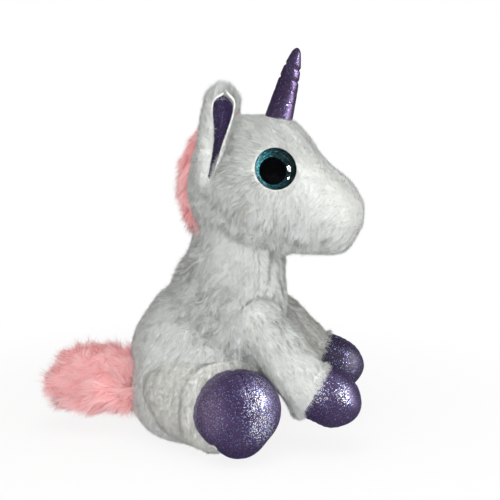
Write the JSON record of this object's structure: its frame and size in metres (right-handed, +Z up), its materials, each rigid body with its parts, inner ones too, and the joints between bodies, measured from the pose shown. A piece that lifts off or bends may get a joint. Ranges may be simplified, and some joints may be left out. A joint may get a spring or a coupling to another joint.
{
  "type": "plush unicorn",
  "caption": "Seated plush unicorn with a glitter horn, glitter hooves, rolled ears, mane, tail and large eyes; the stuffed limbs, head, ears and tail bend at their seams.",
  "frame": {"origin": "on the flat seat, below the middle of the rump", "axes": "+X towards the snout, +Y towards the toy's left side, +Z up towards the horn"},
  "size_m": [0.1867, 0.1284, 0.2158],
  "materials": {
    "white_pile": "long white pile",
    "white_nap": "short white nap",
    "pink_pile": "long pink pile",
    "stuffing": "loose fibre",
    "pellet_bag": "woven cotton with beads inside",
    "glitter_fabric": "shiny printed knit with foil dots",
    "glitter_lining": "shiny printed knit with foil dots",
    "winding_thread": "twisted polyester",
    "eye_lens": "clear, polished",
    "iris_disc": "teal glitter",
    "pupil_plastic": "black, polished",
    "washer_plastic": "plain"
  },
  "bodies": {
    "torso": {"torso_side_right": "white_pile", "torso_side_left": "white_pile", "seat_panel": "white_nap", "torso_stuffing": "stuffing", "pellet_bag": "pellet_bag"},
    "head": {"head_side_right": "white_pile", "head_side_left": "white_pile", "head_gusset": "white_pile", "chin_gusset": "white_nap", "head_stuffing": "stuffing", "mane_strip": "pink_pile", "horn_cover": "glitter_fabric", "horn_stuffing": "stuffing", "horn_thread": "winding_thread", "eye_lens_right": "eye_lens", "eye_lens_left": "eye_lens", "glitter_disc_right": "iris_disc", "glitter_disc_left": "iris_disc", "pupil_post_right": "pupil_plastic", "pupil_post_left": "pupil_plastic", "lock_washer_right": "washer_plastic", "lock_washer_left": "washer_plastic"},
    "ear_right": {"ear_outer_right": "white_pile", "ear_lining_right": "glitter_lining"},
    "foreleg_right": {"foreleg_sleeve_right": "white_pile", "foreleg_stuffing_right": "stuffing", "front_hoof_outer_right": "glitter_fabric", "front_hoof_inner_right": "glitter_fabric"},
    "hindleg_right": {"hindleg_sleeve_right": "white_pile", "hindleg_stuffing_right": "stuffing", "hind_hoof_front_right": "glitter_fabric", "hind_hoof_back_right": "glitter_fabric"},
    "ear_left": {"ear_outer_left": "white_pile", "ear_lining_left": "glitter_lining"},
    "foreleg_left": {"foreleg_sleeve_left": "white_pile", "foreleg_stuffing_left": "stuffing", "front_hoof_outer_left": "glitter_fabric", "front_hoof_inner_left": "glitter_fabric"},
    "hindleg_left": {"hindleg_sleeve_left": "white_pile", "hindleg_stuffing_left": "stuffing", "hind_hoof_front_left": "glitter_fabric", "hind_hoof_back_left": "glitter_fabric"},
    "tail": {"tail_cover": "pink_pile", "tail_stuffing": "stuffing"}
  },
  "joints": [
    {"name": "neck_nod", "type": "hinge", "parent": "torso", "child": "head", "pos_m": [0.021, 0, 0.118], "axis": [0, 1, 0], "range_deg": [-12, 6], "stiffness_Nm_per_rad": 1.5},
    {"name": "foreleg_right_swing", "type": "hinge", "parent": "torso", "child": "foreleg_right", "pos_m": [0.034, -0.028, 0.071], "axis": [0, 1, 0], "range_deg": [-25, 1], "stiffness_Nm_per_rad": 0.3},
    {"name": "foreleg_left_swing", "type": "hinge", "parent": "torso", "child": "foreleg_left", "pos_m": [0.034, 0.028, 0.071], "axis": [0, 1, 0], "range_deg": [-25, 1], "stiffness_Nm_per_rad": 0.3},
    {"name": "hindleg_right_swing", "type": "hinge", "parent": "torso", "child": "hindleg_right", "pos_m": [0.015, -0.023, 0.0245], "axis": [0, 1, 0], "range_deg": [-12, 12], "stiffness_Nm_per_rad": 0.3},
    {"name": "hindleg_left_swing", "type": "hinge", "parent": "torso", "child": "hindleg_left", "pos_m": [0.015, 0.023, 0.0245], "axis": [0, 1, 0], "range_deg": [-12, 12], "stiffness_Nm_per_rad": 0.3},
    {"name": "tail_lift", "type": "hinge", "parent": "torso", "child": "tail", "pos_m": [-0.0345, 0, 0.0285], "axis": [0, 1, 0], "range_deg": [-8, 20], "stiffness_Nm_per_rad": 0.3},
    {"name": "ear_right_fold", "type": "hinge", "parent": "head", "child": "ear_right", "pos_m": [0.0065, -0.0348, 0.148], "axis": [1, 0, 0], "range_deg": [-5, 20], "stiffness_Nm_per_rad": 0.05},
    {"name": "ear_left_fold", "type": "hinge", "parent": "head", "child": "ear_left", "pos_m": [0.0065, 0.0348, 0.148], "axis": [1, 0, 0], "range_deg": [-20, 5], "stiffness_Nm_per_rad": 0.05}
  ]
}
